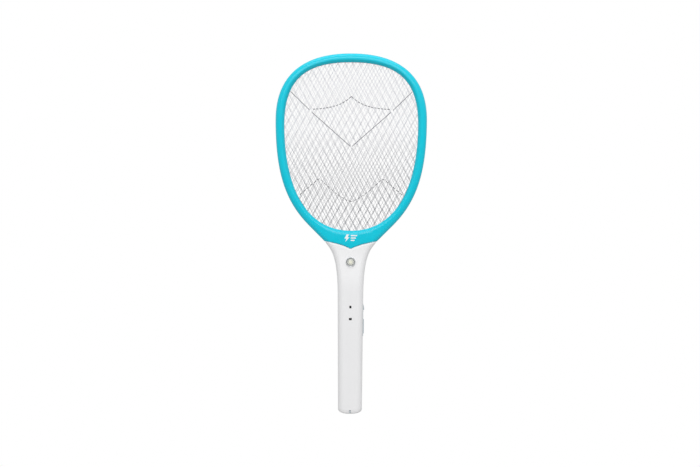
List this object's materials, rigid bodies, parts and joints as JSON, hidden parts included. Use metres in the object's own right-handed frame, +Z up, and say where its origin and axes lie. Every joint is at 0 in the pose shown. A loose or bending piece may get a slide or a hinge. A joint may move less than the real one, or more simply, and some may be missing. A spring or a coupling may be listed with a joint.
{
  "type": "electric fly swatter",
  "caption": "Hand-held electric fly swatter: egg-shaped rim with layered wire nets on a hollow handle with a lamp, side switch, press button and sliding mains plug.",
  "frame": {"origin": "middle of the grip: on the handle's long axis, 100 mm above its foot, midway between the front and rear faces", "axes": "+Z up the handle towards the head, -Y out of the front face, +Y out of the back, +X towards the side with the switch and the button"},
  "size_m": [0.225, 0.0292, 0.535],
  "materials": {
    "rim_plastic": "glossy sky-blue moulded plastic",
    "handle_plastic": "white moulded plastic, semi-gloss",
    "trim_plastic": "pale blue-grey moulded plastic",
    "net_steel": "plain drawn steel wire",
    "screw_steel": "zinc-plated steel",
    "spacer_plastic": "natural insulating plastic",
    "black_plastic": "black plastic",
    "board": "green circuit board",
    "ferrite": "dark grey ferrite",
    "copper_wire": "lacquered copper wire",
    "film_capacitor": "red-brown dipped coating",
    "brass": "plain brass",
    "red_sleeve": "red insulation",
    "black_sleeve": "black insulation",
    "bezel_chrome": "satin grey plating",
    "reflector": "bright vacuum plating",
    "lens": "clear moulded lens",
    "led": "yellow phosphor in clear epoxy",
    "battery": "grey plastic case"
  },
  "bodies": {
    "racket": {"battery": "battery", "battery_lead_negative": "black_sleeve", "battery_lead_positive": "red_sleeve", "centre_net": "net_steel", "centre_net_lead": "red_sleeve", "charge_contact_left": "brass", "charge_contact_right": "brass", "charge_indicator": "black_plastic", "charge_lead_left": "black_sleeve", "charge_lead_right": "black_sleeve", "charger_capacitor": "film_capacitor", "discharge_resistor": "spacer_plastic", "drive_transistor": "black_plastic", "end_plate": "trim_plastic", "front_net": "net_steel", "front_net_spacer": "spacer_plastic", "handle_front_shell": "handle_plastic", "handle_rear_shell": "handle_plastic", "handle_screw_1": "screw_steel", "handle_screw_2": "screw_steel", "handle_screw_3": "screw_steel", "handle_screw_4": "screw_steel", "head_front_shell": "rim_plastic", "head_rear_shell": "rim_plastic", "hv_capacitor": "film_capacitor", "hv_diode_1": "black_plastic", "hv_diode_2": "black_plastic", "hv_transformer_core": "ferrite", "hv_transformer_winding": "copper_wire", "lamp_bezel": "bezel_chrome", "lamp_led": "led", "lamp_lens": "lens", "lamp_reflector": "reflector", "main_board": "board", "mode_switch_body": "black_plastic", "outer_net_lead": "black_sleeve", "outer_net_strap": "brass", "power_indicator": "black_plastic", "rear_net": "net_steel", "rear_net_spacer": "spacer_plastic", "ring_screw_1": "screw_steel", "ring_screw_2": "screw_steel", "ring_screw_3": "screw_steel", "ring_screw_4": "screw_steel", "ring_screw_5": "screw_steel", "ring_screw_6": "screw_steel", "switch_plate": "trim_plastic", "yoke_screw_1": "screw_steel", "yoke_screw_2": "screw_steel", "zap_switch_body": "black_plastic"},
    "mode_slider": {"mode_knob": "trim_plastic", "mode_switch_stem": "black_plastic"},
    "zap_trigger": {"zap_button": "trim_plastic", "zap_switch_plunger": "black_plastic"},
    "charging_plug": {"plug_carrier": "black_plastic", "plug_pin_left": "brass", "plug_pin_right": "brass", "plug_thumb_slider": "trim_plastic"}
  },
  "joints": [
    {"name": "mode_slide", "type": "slide", "parent": "racket", "child": "mode_slider", "axis": [0, 0, -1], "range_m": [0, 0.006]},
    {"name": "zap_press", "type": "slide", "parent": "racket", "child": "zap_trigger", "axis": [-1, 0, 0], "range_m": [0, 0.0015], "stiffness_N_per_m": 400, "springref_m": -0.001},
    {"name": "plug_slide", "type": "slide", "parent": "racket", "child": "charging_plug", "axis": [0, 0, -1], "range_m": [0, 0.019]}
  ]
}
